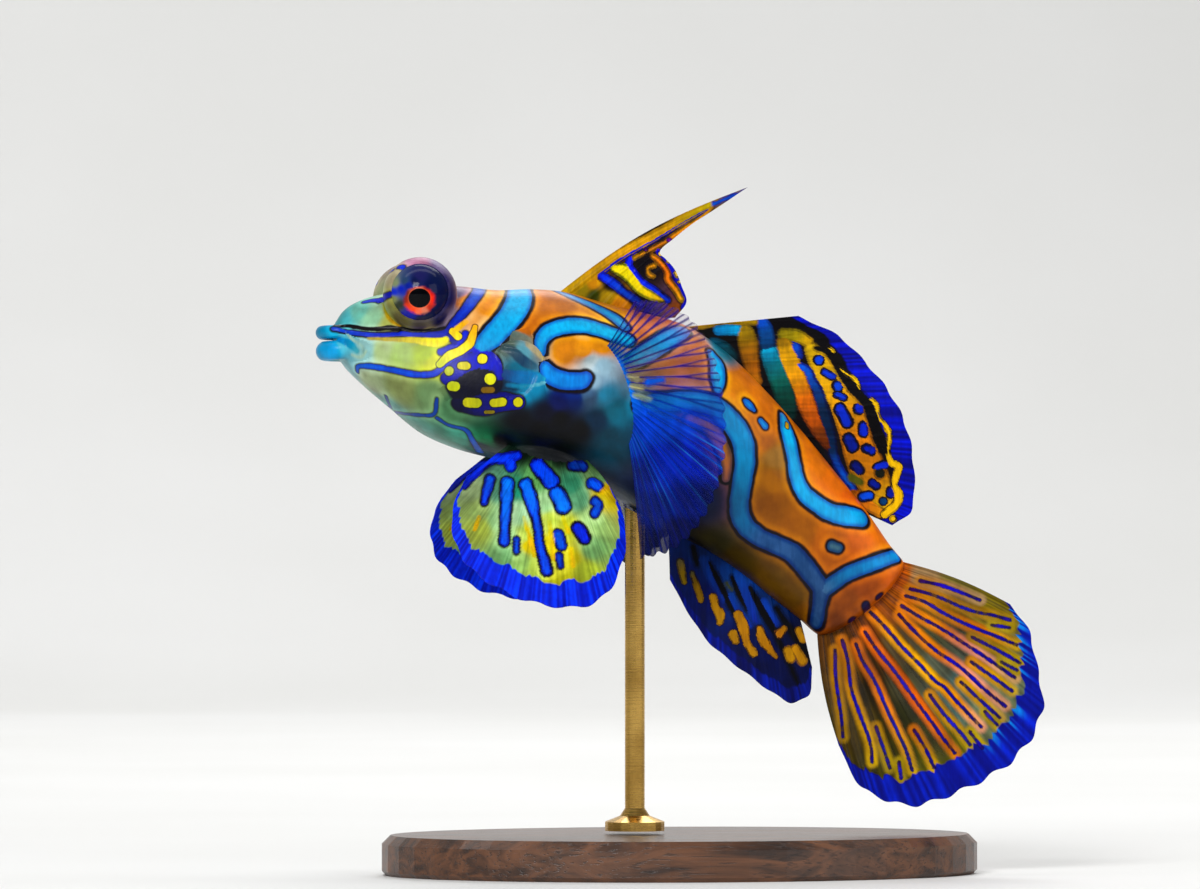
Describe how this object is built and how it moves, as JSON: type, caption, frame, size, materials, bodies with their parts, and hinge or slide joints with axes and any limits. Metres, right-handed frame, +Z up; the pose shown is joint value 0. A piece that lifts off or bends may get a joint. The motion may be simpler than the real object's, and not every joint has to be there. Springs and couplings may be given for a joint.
{
  "type": "display mandarinfish",
  "caption": "Life-size still model of a hovering mandarinfish with spread fins, held by a slender rod on an oval display base.",
  "frame": {"origin": "centre of the stand base's underside", "axes": "-X the way the fish swims, -Y the fish's left side, +Z up"},
  "size_m": [0.0584, 0.032, 0.055],
  "materials": {
    "skin": "wet scaleless skin, patterned",
    "fin": "wet fin membrane, patterned",
    "eye": "wet and glossy",
    "base_wood": "satin dark walnut",
    "rod_brass": "satin"
  },
  "bodies": {
    "root": {"head": "skin", "trunk": "skin", "tail_stalk": "skin", "eye_left": "eye", "eye_right": "eye", "fin_dorsal_first": "fin", "fin_dorsal_second": "fin", "fin_anal": "fin", "fin_caudal": "fin", "fin_pectoral_left": "fin", "fin_pectoral_right": "fin", "fin_pelvic_left": "fin", "fin_pelvic_right": "fin", "stand_base": "base_wood", "stand_rod": "rod_brass"}
  },
  "joints": []
}
